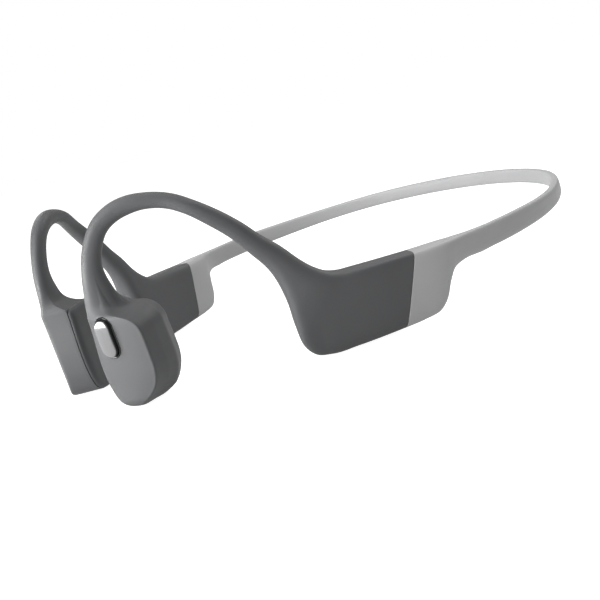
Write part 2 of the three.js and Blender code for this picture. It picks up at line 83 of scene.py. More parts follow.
def plan_curve(per_span=120):
    """The sheet's plan as dense points, from a centripetal Catmull-Rom spline."""
    half = [POD_POINT + POD_HEADING * d for d in (-20.0, -8.0, 17.0, 25.0)]
    half += [np.array(p, float) for p in CURVED]
    knots = np.array(half + [p * (-1, 1) for p in half[-2::-1]])
    ends = [2 * knots[0] - knots[1], 2 * knots[-1] - knots[-2]]
    padded = np.vstack([ends[0], knots, ends[1]])
    t = np.linspace(0, 1, per_span, endpoint=False)[:, None]
    spans = []
    for k in range(len(knots) - 1):
        p0, p1, p2, p3 = padded[k:k + 4]
        d0, d1, d2 = (math.sqrt(np.linalg.norm(b - a)) for a, b in ((p0, p1), (p1, p2), (p2, p3)))
        t1 = ((p1 - p0) / d0 - (p2 - p0) / (d0 + d1) + (p2 - p1) / d1) * d1
        t2 = ((p2 - p1) / d1 - (p3 - p1) / (d1 + d2) + (p3 - p2) / d2) * d1
        cubic = 2 * p1 - 2 * p2 + t1 + t2
        square = -3 * p1 + 3 * p2 - 2 * t1 - t2
        spans.append(p1 + t1 * t + square * t ** 2 + cubic * t ** 3)
    return np.vstack(spans + [knots[-1:]])


PLAN = plan_curve()
PLAN_LENGTH = np.concatenate([[0], np.cumsum(np.linalg.norm(np.diff(PLAN, axis=0), axis=1))])
REAR = PLAN_LENGTH[-1] / 2 - POD_START           # s at the middle of the neckband
PLAN_TANGENT = np.gradient(PLAN, PLAN_LENGTH, axis=0)


def smoothstep(x, low, high):
    t = np.clip((x - low) / (high - low), 0, 1)
    return t * t * (3 - 2 * t)


def plan_frame(s):
    """Point, direction along and direction out of the sheet at s, each (..., 2)."""
    u = np.asarray(s, float) + POD_START
    at = np.stack([np.interp(u, PLAN_LENGTH, PLAN[:, k]) for k in (0, 1)], -1)
    along = np.stack([np.interp(u, PLAN_LENGTH, PLAN_TANGENT[:, k]) for k in (0, 1)], -1)
    along /= np.linalg.norm(along, axis=-1, keepdims=True)
    return at, along, np.stack([along[..., 1], -along[..., 0]], -1)


def design(s, n, z):
    """The place (s, n, z) in the design frame, in mm, before the nose-down stance."""
    s, n, z = np.broadcast_arrays(np.asarray(s, float), n, z)
    at, _, out = plan_frame(s)
    share = smoothstep(s, 44, 54) * (1 - smoothstep(s, 92, 104))
    lean = BOX_LEAN * share * np.minimum(0, z - BOX_LEAN_TOP)
    flat = at + out * (n + lean)[..., None]
    return np.concatenate([flat, z[..., None]], -1)


STAND = np.array([
    [1, 0, 0],
    [0, math.cos(STANCE), -math.sin(STANCE)],
    [0, math.sin(STANCE), math.cos(STANCE)],
])
BATTERY_PLACE = (70.0, 0.0, -19.6)               # the battery's centre, which fixes the offset
low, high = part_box("battery_cell")
OFFSET = np.array((low + high) / 2) / MM - STAND @ design(*BATTERY_PLACE)


def row(points):
    """Design-frame points in mm as row-frame points in metres."""
    return (np.asarray(points) @ STAND.T + OFFSET) * MM


def row_direction(vector):
    return STAND @ np.asarray(vector, float)


def place_matrix(s, z, lean=0.0):
    """Local x along the sheet, y towards the head, z up, at the sheet's middle."""
    _, along, out = plan_frame(s)
    axes = np.array([[along[0], -out[0], 0], [along[1], -out[1], 0], [0, 0, 1]])
    tilt = np.array([
        [1, 0, 0], [0, math.cos(lean), -math.sin(lean)], [0, math.sin(lean), math.cos(lean)]])
    return axes @ tilt, design(s, 0.0, z)


def facet_matrix(s, z):
    """Local x along the facet, y up it, z out of it."""
    _, along, out = plan_frame(s)
    normal = np.array([*(out - along * FACET_SLOPE), 0.0])
    normal /= np.linalg.norm(normal)
    up = np.array([0, 0, 1.0])
    return np.stack([np.cross(up, normal), up, normal], 1), design(s, FACET_BASE + FACET_SLOPE * s, z)


# ---- meshes ------------------------------------------------------------------------------
SHARP = 40                       # edges with a larger angle than this, in degrees, stay sharp
CUT_SHARP = 32                   # the same for a body with openings cut in it


def new_object(name, points, faces, mirror=False):
    """A smooth-shaded mesh object from row-frame points, mirrored for the wearer's right side."""
    points = np.array(points, float)
    if mirror:
        points = points * (-1, 1, 1)
        faces = [tuple(reversed(f)) for f in faces]
    mesh = bpy.data.meshes.new(name)
    mesh.from_pydata([tuple(p) for p in points], [], faces)
    work = bmesh.new()
    work.from_mesh(mesh)
    bmesh.ops.remove_doubles(work, verts=work.verts, dist=2e-6)
    bmesh.ops.dissolve_degenerate(work, edges=work.edges, dist=1e-6)
    bmesh.ops.recalc_face_normals(work, faces=work.faces)
    work.to_mesh(mesh)
    work.free()
    shade(mesh, SHARP)
    obj = bpy.data.objects.new(name, mesh)
    bpy.context.scene.collection.objects.link(obj)
    return obj


def shade(mesh, sharp):
    mesh.polygons.foreach_set("use_smooth", [True] * len(mesh.polygons))
    mesh.set_sharp_from_angle(angle=math.radians(sharp))
    mesh.update()


def ring_faces(rings, count):
    """Quads between rings of count points, closed by a face at each end."""
    faces = []
    for r in range(rings - 1):
        for k in range(count):
            a, b = r * count + k, r * count + (k + 1) % count
            faces.append((a, b, b + count, a + count))
    faces.append(tuple(reversed(range(count))))
    faces.append(tuple((rings - 1) * count + k for k in range(count)))
    return faces


def cut(obj, *tools):
    """obj with the tools' volumes taken out; the tools are used up."""
    for tool in tools:
        modifier = obj.modifiers.new("cut", "BOOLEAN")
        modifier.operation = "DIFFERENCE"
        modifier.solver = "EXACT"
        modifier.object = tool
        tool.hide_render = True
    bpy.context.view_layer.update()
    evaluated = obj.evaluated_get(bpy.context.evaluated_depsgraph_get())
    mesh = bpy.data.meshes.new_from_object(evaluated)
    obj.modifiers.clear()
    obj.data = mesh
    for tool in tools:
        bpy.data.objects.remove(tool)
    shade(mesh, CUT_SHARP)
    return obj


def stadium(length, width, inset, count=20, side=0):
    """A pill outline, long in y, drawn in by inset, with side more points on its straight sides."""
    radius = max(width / 2 - inset, 0.0)
    half = (length - width) / 2
    top = np.linspace(0, math.pi, count)
    down = np.linspace(half, -half, side + 2)[1:-1]
    parts = [(radius * np.cos(top), half + radius * np.sin(top)), (np.full(side, -radius), down),
             (radius * np.cos(top + math.pi), -half + radius * np.sin(top + math.pi)),
             (np.full(side, radius), -down)]
    return np.hstack([np.stack(part) for part in parts]).T


def rounded_rectangle(length, width, radius, inset, count=8):
    """A rounded rectangle, long in x, drawn in by inset."""
    radius = max(radius - inset, 0.02)
    hx, hy = length / 2 - inset - radius, width / 2 - inset - radius
    turn = np.linspace(0, math.pi / 2, count)
    points = []
    for k, (sx, sy) in enumerate(((1, 1), (-1, 1), (-1, -1), (1, -1))):
        angle = turn + k * math.pi / 2
        points.append(np.stack([sx * hx + radius * np.cos(angle), sy * hy + radius * np.sin(angle)], 1))
    return np.vstack(points)


def stack(name, outline, profile, matrix, mirror=False, bow=0.0):
    """Outlines drawn in by the profile's insets at its heights, joined into one body.

    bow is how much lower the two far ends are than the middle."""
    axes, origin = matrix
    reach = outline(0)[:, 1].max()
    rings = []
    for inset, height in profile:
        flat = outline(inset)
        local = np.column_stack([flat, height - bow * (flat[:, 1] / reach) ** 2])
        rings.append(local @ axes.T + origin)
    points = row(np.vstack(rings))
    return new_object(name, points, ring_faces(len(rings), len(rings[0])), mirror)


# ---- skins -------------------------------------------------------------------------------
# Every station of the soft skin, from the pod's bottom, over the ear and down to the split,
# has an outer rail (s, z), an inner rail (s, z), its middle n and its half thickness. A pod's
# station goes on with the ridge's s, the drop of the facet at the ridge and at the front, the
# share of the pod's own outline against a plain rounded one, the radii of its front and
# ridge, and the n of its inner side.
POD_ROWS = [
    # so, zo, si, zi, middle, half, ridge, drop, front drop, share, front radius, ridge radius, inner n
    (2.6, -26.24, 4.2, -26.24, -0.25, 2.8, 3.2, 3.4, 3.2, 1, 0.5, 0.8, -7.0),
    (1.3, -26.07, 6.2, -26.07, -0.25, 2.8, 3.3, 2.3, 2.1, 1, 0.8, 1.6, -7.1),
    (-0.45, -25.7, 8.6, -25.68, -0.25, 2.8, 3.5, 1.15, 1.0, 1, 1.0, 2.2, -7.2),
    (-1.5, -25.25, 9.95, -25.15, -0.25, 2.8, 3.9, 0.55, 0.45, 1, 1.0, 2.2, -7.2),
    (-2.45, -24.65, 11.25, -24.5, -0.25, 2.8, 4.7, 0.2, 0.12, 1, 1.0, 1.9, -7.2),
    (-3.25, -23.9, 12.25, -23.8, -0.25, 2.8, 5.6, 0, 0, 1, 1.0, 1.3, -7.2),
    (-3.9, -22.8, 13.0, -22.7, -0.25, 2.8, 7.0, 0, 0, 1, 1.0, 1.0, -7.2),
    (-4.45, -21.2, 13.8, -21.1, -0.25, 2.8, 8.5, 0, 0, 1, 1.0, 0.7, -7.2),
    (-4.8, -19.6, 14.4, -19.5, -0.25, 2.8, 9.5, 0, 0, 1, 1.0, 0.7, -7.2),
    (-5.1, -16.4, 14.95, -16.4, -0.25, 2.8, 10.4, 0, 0, 1, 1.0, 0.7, -7.2),
    (-5.05, -12.2, 14.95, -12.2, -0.25, 2.8, 10.6, 0, 0, 1, 1.0, 0.7, -7.2),
    (-4.65, -8.2, 14.8, -8.2, -0.25, 2.8, 10.6, 0, 0, 1, 1.0, 0.7, -7.2),
    (-4.3, -5.3, 14.7, -5.5, -0.25, 2.8, 10.4, 0, 0, 1, 1.0, 0.7, -7.2),
    (-4.1, -3.6, 14.35, -4.2, -0.3, 2.8, 10.0, 0, 0, 1, 1.0, 0.7, -7.2),
    (-4.0, -2.2, 13.7, -2.95, -0.35, 2.8, 9.1, 0, 0, 1, 1.0, 0.7, -7.2),
    (-3.9, -1.2, 12.95, -2.0, -0.4, 2.75, 7.8, 0.02, 0.02, 1, 1.0, 0.7, -7.2),
    (-3.85, -0.2, 11.75, -0.95, -0.45, 2.7, 5.4, 0.1, 0.1, 1, 1.1, 0.8, -7.15),
    (-3.8, 0.5, 10.5, -0.25, -0.5, 2.65, 3.4, 0.4, 0.25, 0.98, 1.2, 1.4, -6.9),
    (-3.7, 1.3, 9.2, 0.3, -0.6, 2.6, 2.5, 0.9, 0.45, 0.92, 1.4, 2.6, -6.0),
    (-3.55, 2.7, 7.7, 1.7, -0.75, 2.5, 1.8, 1.75, 0.7, 0.7, 1.3, 4.0, -4.6),
    (-3.2, 5.1, 6.0, 4.1, -0.95, 2.4, 1.3, 2.25, 0.9, 0.36, 1.4, 4.4, -3.7),
    (-2.75, 7.2, 5.1, 7.0, -1.1, 2.35, 1.1, 2.5, 1.0, 0.15, 1.6, 4.4, -3.4),
    (-2.2, 9.4, 4.6, 9.3, -1.15, 2.3, 1.0, 2.6, 1.1, 0.04, 1.8, 4.4, -3.3),
]
HOOK_ROWS = [
    # so, zo, si, zi, middle, half thickness, squareness
    (-1.4, 12.0, 4.5, 11.8, -1.25, 2.2, 2.2),
    (-0.2, 15.5, 5.2, 14.6, -1.5, 2.1, 2.2),
    (1.8, 19.4, 6.9, 18.0, -1.8, 2.1, 2.2),
    (5.6, 24.0, 9.2, 20.5, -2.0, 2.15, 2.2),
    (10.6, 26.7, 12.6, 22.1, -1.9, 2.25, 2.2),
    (16.2, 27.6, 16.8, 22.8, -1.6, 2.25, 2.2),
    (22.1, 26.8, 20.7, 22.7, -1.2, 2.25, 2.2),
    (27.9, 24.7, 25.6, 21.3, -0.8, 2.3, 2.3),
    (33.3, 21.3, 30.3, 18.4, -0.4, 2.4, 2.3),
    (38.5, 16.9, 34.8, 14.0, -0.2, 2.6, 2.4),
    (43.0, 12.1, 38.9, 9.2, -0.1, 2.75, 2.4),
    (46.6, 7.4, 42.4, 3.7, -0.3, 2.95, 2.3),
    (50.2, 3.4, 45.7, -2.1, -0.45, 3.25, 2.3),
    (54.6, -2.5, 47.6, -11.8, -0.25, 3.95, 2.9),
    (57.2, -5.3, 47.6, -18.7, -0.1, 4.4, 3.8),
    (60.2, -7.5, 48.2, -24.4, 0, 4.6, 5.0),
    (63.5, -8.5, 50.8, -27.95, 0, 4.6, 5.5),
    (66.5, -8.8, 54.7, -29.15, 0, 4.6, 6.0),
    (72.5, -9.3, 62.0, -29.5, 0, 4.6, 6.0),
    (83.05, -10.2, 75.55, -29.6, 0, 4.6, 6.0),
]
CAP_ROWS = [
    (83.25, -10.2, 75.75, -29.6, 0, 4.66, 6.0),
    (86.8, -10.4, 81.8, -29.5, 0, 4.66, 6.0),
    (89.8, -10.5, 86.6, -28.8, 0, 4.5, 5.5),
    (92.2, -10.6, 89.0, -26.7, 0, 4.2, 5.0),
    (94.4, -10.75, 91.0, -22.8, 0, 3.6, 4.5),
    (97.0, -10.85, 93.6, -19.3, 0, 2.8, 4.0),
    (100.0, -11.0, 97.6, -17.9, 0, 2.0, 3.6),
    (103.7, -11.15, 103.2, -17.85, 0, 1.6, 3.4),
]


POD_SQUARE = 2.15                # squareness of the plain outline within the pod
POD_FADED = (1.0, 2.6, 1.1, 0.0, 1.8, 4.4, -3.3)     # the pod's columns along hook and box
DROP, SHARE, INNER, EVENNESS = 8, 10, 13, 14         # columns of the joined tables
EVENING_STATIONS = 4             # over which the ring's points become evenly spread
SOFT_RINGS = 400
BAND_RINGS = 330
SOFT_END = 0.12                  # radii at the split between box and cap
CAP_END = 0.16
BAND_START = 107                 # s at which the neckband leaves the cap
BAND_STEPS = 26
BAND_HEIGHTS = (6.5, 4.8)        # beside the cap and at the rear
BAND_Z = -14.5
BAND_DROP = 0.8
BAND_HALF = 1.42
BAND_SQUARE = 3.3


def spline(rows, count):
    """Rows of numbers blended smoothly into count rows, evenly spaced along both rails."""
    rows = np.array(rows, float)
    step = np.linalg.norm(np.diff(rows[:, :2], axis=0), axis=1)
    step += np.linalg.norm(np.diff(rows[:, 2:4], axis=0), axis=1)
    x = np.concatenate([[0], np.cumsum(step)])
    slope = np.diff(rows, axis=0) / step[:, None]
    tangent = np.empty_like(rows)
    tangent[0], tangent[-1] = slope[0], slope[-1]
    weight = (step[1:] / (step[1:] + step[:-1]))[:, None]
    tangent[1:-1] = weight * slope[:-1] + (1 - weight) * slope[1:]
    at = np.linspace(0, x[-1], count)
    k = np.clip(np.searchsorted(x, at, side="right") - 1, 0, len(step) - 1)
    h = step[k][:, None]
    t = ((at - x[k]) / step[k])[:, None]
    return ((2 * t ** 3 - 3 * t ** 2 + 1) * rows[k] + (t ** 3 - 2 * t ** 2 + t) * h * tangent[k]
            + (3 * t ** 2 - 2 * t ** 3) * rows[k + 1] + (t ** 3 - t ** 2) * h * tangent[k + 1])


CORNER_POINTS = (4, 10, 10, 9, 8, 4)
EDGE_POINTS = (5, 16, 5, 5, 4, 10)
CROWN = 0.65                     # height of the facet's middle over its edges
FACET_WIDTH = 14.5
FLANK_SHARE = 0.58               # place of the flank's corner, from the ridge to the rear
FLANK_BASE = -4.8
FLANK_RISE = 0.62                # its height, as a share of the ridge's over the base
REAR_N = -1.2
FLANK_RADIUS = 9.0
REAR_RADIUS = 4.0
SEAM_RADIUS = 0.12
RING = sum(CORNER_POINTS) + sum(EDGE_POINTS)


def rounded_polygon(corners, radii):
    """Points round a closed polygon with rounded corners, always the same number of them."""
    corners = np.array(corners, float)
    size = len(corners)
    starts, ends = [], []
    for k in range(size):
        back = corners[k - 1] - corners[k]
        ahead = corners[(k + 1) % size] - corners[k]
        lb, la = np.linalg.norm(back), np.linalg.norm(ahead)
        back, ahead = back / lb, ahead / la
        angle = math.acos(np.clip(back @ ahead, -1, 1))
        reach = radii[k] / math.tan(angle / 2) if angle > 1e-3 else radii[k]
        reach = min(reach, 0.48 * lb, 0.48 * la)
        starts.append(corners[k] + back * reach)
        ends.append(corners[k] + ahead * reach)
    points = []
    for k in range(size):
        t = np.linspace(0, 1, CORNER_POINTS[k])[:, None]
        points.append((1 - t) ** 2 * starts[k] + 2 * t * (1 - t) * corners[k] + t ** 2 * ends[k])
        t = np.linspace(0, 1, EDGE_POINTS[k] + 2)[1:-1, None]
        points.append((1 - t) * ends[k] + t * starts[(k + 1) % size])
    return np.vstack(points)


def pod_outline(front, rear, ridge, drop, front_drop, seam, front_radius, ridge_radius):
    """A pod's level section as (s, n) points: slightly crowned facet, ridge and rounded flank."""
    crown = CROWN * min(1.0, (ridge - front) / FACET_WIDTH) ** 2
    front_top = FACET_BASE + FACET_SLOPE * front - front_drop - crown
    ridge_top = FACET_BASE + FACET_SLOPE * ridge - drop - crown
    flank = (ridge + FLANK_SHARE * (rear - ridge), FLANK_BASE + (ridge_top - FLANK_BASE) * FLANK_RISE)
    corners = [
        (front + 0.25, seam), (front, front_top), (ridge, ridge_top), flank,
        (rear, REAR_N), (rear - 0.1, seam),
    ]
    radii = (SEAM_RADIUS, front_radius, ridge_radius, FLANK_RADIUS, REAR_RADIUS, SEAM_RADIUS)
    points = rounded_polygon(corners, radii)
    first = sum(CORNER_POINTS[:2]) + EDGE_POINTS[0]
    t = np.linspace(0, 1, EDGE_POINTS[1] + 2)[1:-1]
    points[first:first + EDGE_POINTS[1], 1] += crown * 4 * t * (1 - t)
    return points


def reference_angles():
    """Angles at which a round section's points match a pod section's."""
    points = pod_outline(-3.9, 13.6, 6.9, 0, 0, -4.8, 1.0, 0.8)
    middle = (points.max(0) + points.min(0)) / 2
    half = (points.max(0) - points.min(0)) / 2
    angles = np.arctan2(*((points - middle) / half).T[::-1])
    return np.unwrap(angles)


REFERENCE = reference_angles()
EVEN = REFERENCE.mean() + np.pi * (1 - 2 * (np.arange(RING) + 0.5) / RING)


def round_outline(middle, half, square, evenness):
    """A rounded section as places across, from -1 at the outer rail to 1 at the inner, and n."""
    angle = REFERENCE * (1 - evenness) + EVEN * evenness
    cosine, sine = np.cos(angle), np.sin(angle)
    across = np.sign(cosine) * np.abs(cosine) ** (2 / square)
    deep = np.sign(sine) * np.abs(sine) ** (2 / square)
    return across, middle + half * deep


def skin_rings(rows):
    """Ring points for a table of blended skin stations."""
    rings = []
    for so, zo, si, zi, middle, half, square, *pod_columns, evenness in rows:
        ridge, drop, front_drop, share, front_radius, ridge_radius, inner = pod_columns
        across, n = round_outline(middle, half, square, evenness)
        s = (so + si) / 2 + (si - so) / 2 * across
        if share > 0:
            pod = pod_outline(so, si, ridge, drop, front_drop, inner, front_radius, ridge_radius)
            s = s + (pod[:, 0] - s) * share
            n = n + (pod[:, 1] - n) * share
        if abs(si - so) > abs(zi - zo):
            z = zo + (zi - zo) * (s - so) / (si - so)
        else:
            z = (zo + zi) / 2 + (zi - zo) / 2 * across
        rings.append(np.stack([s, n, z], 1))
    return np.array(rings)


def band_rings(rows):
    """Ring points for cap and band stations."""
    rings = []
    for so, zo, si, zi, middle, half, square in rows:
        angle = np.pi * 2 * (np.arange(RING) + 0.5) / RING
        cosine, sine = np.cos(angle), np.sin(angle)
        across = np.sign(cosine) * np.abs(cosine) ** (2 / square)
        deep = np.sign(sine) * np.abs(sine) ** (2 / square)
        rings.append(np.stack([
            (so + si) / 2 + (so - si) / 2 * across, middle + half * deep,
            (zo + zi) / 2 + (zo - zi) / 2 * across], 1))
    return np.array(rings)


def soft_end(rings, last, depth, steps=5):
    """Rounds off the ring at one end, so that it meets its flat end in a small radius."""
    order = rings if last else rings[::-1]
    centre = order[-1].mean(0)
    away = order[-1] - order[-2]
    away /= np.abs(away[:, :1]).mean() + np.linalg.norm(away, axis=1, keepdims=True)
    inward = centre - order[-1]
    inward /= np.linalg.norm(inward, axis=1, keepdims=True)
    extra = []
    for k in range(1, steps + 1):
        turn = k / steps * math.pi / 2
        extra.append(order[-1] + inward * depth * (1 - math.cos(turn)) + away * depth * math.sin(turn))
    order = np.concatenate([order, np.array(extra)])
    return order if last else order[::-1]


def soft_skin(name, mirror):
    """Pod shell, ear hook and box housing as one moulded skin."""
    pod = [(*r[:6], POD_SQUARE, *r[6:], 0.0) for r in POD_ROWS]
    hook = [(*r, *POD_FADED, min(1.0, (k + 1) / EVENING_STATIONS)) for k, r in enumerate(HOOK_ROWS)]
    rows = spline(pod + hook, SOFT_RINGS)
    rows[:, DROP:INNER] = np.maximum(rows[:, DROP:INNER], 0)
    rows[:, SHARE] = np.minimum(rows[:, SHARE], 1)
    rows[:, INNER] = np.maximum(rows[:, INNER], SEAM)
    rows[:, EVENNESS] = np.clip(rows[:, EVENNESS], 0, 1)
    rings = soft_end(skin_rings(rows), True, SOFT_END)
    points = row(design(*np.moveaxis(rings, -1, 0)).reshape(-1, 3))
    return new_object(name, points, ring_faces(len(rings), RING), mirror)


def neckband_skin(name):
    """Both rear caps and the neckband as one moulded skin."""
    front_height, rear_height = BAND_HEIGHTS
    band = []
    for k in range(BAND_STEPS + 1):
        share = k / BAND_STEPS
        s = BAND_START + (REAR - BAND_START) * share
        half = (front_height + (rear_height - front_height) * smoothstep(share, -0.03, 0.5)) / 2
        z = BAND_Z - BAND_DROP * smoothstep(share, -0.03, 0.35)
        band.append((s, z + half, s, z - half, 0, BAND_HALF, BAND_SQUARE))
    rings = soft_end(band_rings(spline(CAP_ROWS + band, BAND_RINGS)), False, CAP_END)
    left = row(design(*np.moveaxis(rings, -1, 0)).reshape(-1, 3)).reshape(len(rings), RING, 3)
    right = left[:-1][::-1] * (-1, 1, 1)
    points = np.concatenate([left, right]).reshape(-1, 3)
    return new_object(name, points, ring_faces(2 * len(rings) - 1, RING))


# The pad's outline (s, z) keeps just inside the pod's edge at the seam.
PAD_TOP = [(-3.4, -0.75), (-2.5, 0.05), (-0.6, 0.3), (5, 0.3), (8.8, -0.15), (10.9, -0.95)]
PAD_SIDES = [r for r in POD_ROWS if -26.2 < r[1] < -1.0]
PAD_OUTLINE = [(3.6, -26.1)] + [(r[0] + 0.42, r[1] + 0.1) for r in PAD_SIDES] + PAD_TOP
PAD_OUTLINE += [(r[2] - 0.3, r[3] + 0.1) for r in reversed(PAD_SIDES)]


def closed_curve(points, count):
    """A smooth closed curve through points, evenly spaced."""
    p = np.array(points, float)
    size = len(p)
    t = np.linspace(0, 1, 40, endpoint=False)[:, None]
    spans = []
    for k in range(size):
        a, b, c, d = p[k - 1], p[k], p[(k + 1) % size], p[(k + 2) % size]
        spans.append(0.5 * (2 * b + (c - a) * t + (2 * a - 5 * b + 4 * c - d) * t ** 2
                            + (3 * b - a - 3 * c + d) * t ** 3))
    dense = np.vstack(spans)
    closed = np.vstack([dense, dense[:1]])
    length = np.concatenate([[0], np.cumsum(np.linalg.norm(np.diff(closed, axis=0), axis=1))])
    at = np.linspace(0, length[-1], count, endpoint=False)
    return np.stack([np.interp(at, length, closed[:, k]) for k in (0, 1)], 1)


PAD_POINTS = 160
PAD_CENTRE = np.array([5.1, -12.2])
PAD_PROFILE = [
    # n, inset
    (-7.22, 1.4), (-7.22, 0.22), (-7.26, 0.1), (-7.34, 0.04), (-7.5, 0.0), (-7.8, 0.06), (-8.1, 0.26),
    (-8.38, 0.62), (-8.6, 1.15), (-8.74, 1.9), (-8.79, 2.9), (-8.8, 4.4),
]


def skin_pad(name, mirror):
    """The pad that rests on the cheekbone."""
    outline = closed_curve(PAD_OUTLINE, PAD_POINTS)
    away = outline - PAD_CENTRE
    distance = np.linalg.norm(away, axis=1, keepdims=True)
    rings = []
    for n, inset in PAD_PROFILE:
        flat = PAD_CENTRE + away * (1 - inset / distance)
        rings.append(design(flat[:, 0], n, flat[:, 1]))
    points = row(np.vstack(rings))
    return new_object(name, points, ring_faces(len(rings), PAD_POINTS), mirror)


# ---- materials ---------------------------------------------------------------------------
def value_node(nodes, kind, **inputs):
    node = nodes.new(kind)
    for key, value in inputs.items():
        node.inputs[key.replace("_", " ")].default_value = value
    return node


def finish_material(name, color, rough=0.5, metal=0.0, grain=0.18, bump=0.06, mottle=0.08,
                    rough_spread=0.06, coat=0.0, coat_rough=0.1, brushed=None, specular=0.5,
                    stripes=None, transmission=0.0):
    """A procedural finish: mottled colour, uneven roughness and a fine moulded grain.

    grain is the size of the grain in mm. brushed stretches it along an axis."""
    material = bpy.data.materials.new(name)
    material.use_nodes = True
    nodes, links = material.node_tree.nodes, material.node_tree.links
    shader = nodes["Principled BSDF"]
    shader.inputs["Metallic"].default_value = metal
    shader.inputs["Specular IOR Level"].default_value = specular
    shader.inputs["Coat Weight"].default_value = coat
    shader.inputs["Coat Roughness"].default_value = coat_rough
    shader.inputs["Transmission Weight"].default_value = transmission
    place = nodes.new("ShaderNodeTexCoord")
    mapping = nodes.new("ShaderNodeMapping")
    stretch = {None: (1, 1, 1), "x": (0.06, 1, 1), "y": (1, 0.06, 1), "z": (1, 1, 0.06)}[brushed]
    mapping.inputs["Scale"].default_value = stretch
    links.new(place.outputs["Object"], mapping.inputs["Vector"])

    broad = value_node(nodes, "ShaderNodeTexNoise", Scale=90.0, Detail=4.0, Roughness=0.55)
    links.new(place.outputs["Object"], broad.inputs["Vector"])
    fine = value_node(nodes, "ShaderNodeTexNoise", Scale=1 / (grain * MM), Detail=3.0, Roughness=0.6)
    links.new(mapping.outputs["Vector"], fine.inputs["Vector"])

    ramp = nodes.new("ShaderNodeValToRGB")
    dark = [c * (1 - mottle) for c in color]
    light = [min(1.0, c * (1 + mottle)) for c in color]
    ramp.color_ramp.elements[0].position = 0.3
    ramp.color_ramp.elements[0].color = (*dark, 1)
    ramp.color_ramp.elements[1].position = 0.7
    ramp.color_ramp.elements[1].color = (*light, 1)
    mix = nodes.new("ShaderNodeMath")
    mix.operation = "MULTIPLY_ADD"
    mix.inputs[1].default_value = 0.35
    links.new(fine.outputs["Fac"], mix.inputs[0])
    scaled = nodes.new("ShaderNodeMath")
    scaled.operation = "MULTIPLY"
    scaled.inputs[1].default_value = 0.65
    links.new(broad.outputs["Fac"], scaled.inputs[0])
    links.new(scaled.outputs[0], mix.inputs[2])
    links.new(mix.outputs[0], ramp.inputs["Fac"])
    color_out = ramp.outputs["Color"]
    if stripes:
        spacing, tint = stripes
        wave = value_node(nodes, "ShaderNodeTexWave", Scale=0.314 / (spacing * MM), Distortion=0.0)
        links.new(place.outputs["Object"], wave.inputs["Vector"])
        step = nodes.new("ShaderNodeMath")
        step.operation = "GREATER_THAN"
        step.inputs[1].default_value = 0.8
        links.new(wave.outputs["Fac"], step.inputs[0])
        blend = nodes.new("ShaderNodeMix")
        blend.data_type = "RGBA"
        blend.inputs["B"].default_value = (*tint, 1)
        links.new(step.outputs[0], blend.inputs["Factor"])
        links.new(color_out, blend.inputs["A"])
        color_out = blend.outputs["Result"]
    links.new(color_out, shader.inputs["Base Color"])

    spread = nodes.new("ShaderNodeMapRange")
    spread.inputs["From Min"].default_value = 0.3
    spread.inputs["From Max"].default_value = 0.7
    spread.inputs["To Min"].default_value = max(0.02, rough - rough_spread)
    spread.inputs["To Max"].default_value = rough + rough_spread
    links.new(broad.outputs["Fac"], spread.inputs["Value"])
    links.new(spread.outputs["Result"], shader.inputs["Roughness"])

    relief = nodes.new("ShaderNodeBump")
    relief.inputs["Strength"].default_value = bump
    relief.inputs["Distance"].default_value = grain * MM
    links.new(fine.outputs["Fac"], relief.inputs["Height"])
    links.new(relief.outputs["Normal"], shader.inputs["Normal"])
    return material


SOFT_GREY = finish_material("soft_touch_grey", (0.056, 0.057, 0.059), rough=0.56, grain=0.22, bump=0.10,
                            mottle=0.07, specular=0.34)
PALE_GREY = finish_material("pale_moulded_grey", (0.275, 0.275, 0.278), rough=0.5, grain=0.22, bump=0.08,
                            mottle=0.04, specular=0.4)
PAD_GREY = finish_material("pad_rubber", (0.042, 0.043, 0.045), rough=0.62, grain=0.3, bump=0.14,
                           mottle=0.08, specular=0.35)
GLOSS_GREY = finish_material("gloss_button", (0.12, 0.12, 0.123), rough=0.09, grain=0.6, bump=0.01,
                             mottle=0.03, rough_spread=0.02, coat=0.6, coat_rough=0.05)
GLOSS_BLACK = finish_material("gloss_black", (0.012, 0.012, 0.013), rough=0.16, grain=0.4, bump=0.02,
                              mottle=0.1, rough_spread=0.04)
BLACK = finish_material("black_plastic", (0.02, 0.02, 0.022), rough=0.42, grain=0.2, bump=0.08, mottle=0.12)
STEEL = finish_material("steel", (0.56, 0.57, 0.58), rough=0.3, metal=1.0, grain=0.1, bump=0.05,
                        mottle=0.05, brushed="x")
MAGNET = finish_material("magnet_metal", (0.5, 0.52, 0.54), rough=0.22, metal=1.0, grain=0.3, bump=0.03,
                         mottle=0.05)
COPPER = finish_material("copper", (0.78, 0.36, 0.17), rough=0.33, metal=1.0, grain=0.12, bump=0.2,
                         mottle=0.12, stripes=(0.18, (0.5, 0.2, 0.08)))
TITANIUM = finish_material("titanium", (0.5, 0.48, 0.45), rough=0.36, metal=1.0, grain=0.1, bump=0.06,
                           mottle=0.06, brushed="y")
CABLE = finish_material("cable_black", (0.02, 0.02, 0.022), rough=0.55, grain=0.2, bump=0.12, mottle=0.15)
FOIL = finish_material("battery_foil", (0.6, 0.62, 0.64), rough=0.3, metal=0.9, grain=0.9, bump=0.25,
                       mottle=0.06)
BOARD = finish_material("board_green", (0.014, 0.085, 0.045), rough=0.45, grain=0.25, bump=0.12,
                        mottle=0.2, stripes=(1.3, (0.03, 0.14, 0.08)))
LAMP = finish_material("lamp_clear", (0.8, 0.83, 0.85), rough=0.12, grain=0.5, bump=0.02, mottle=0.03,
                       rough_spread=0.03, transmission=0.5)

# ---- the visible pieces ------------------------------------------------------------------
BUTTON = {"s": 0.3, "z": -5.7, "length": 10.4, "width": 4.8}
BEZEL = {"length": 11.5, "width": 5.9}


def dress(obj, material, nodes=()):
    obj.data.materials.clear()
    obj.data.materials.append(material)
    if nodes:
        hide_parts(*nodes)
    return obj


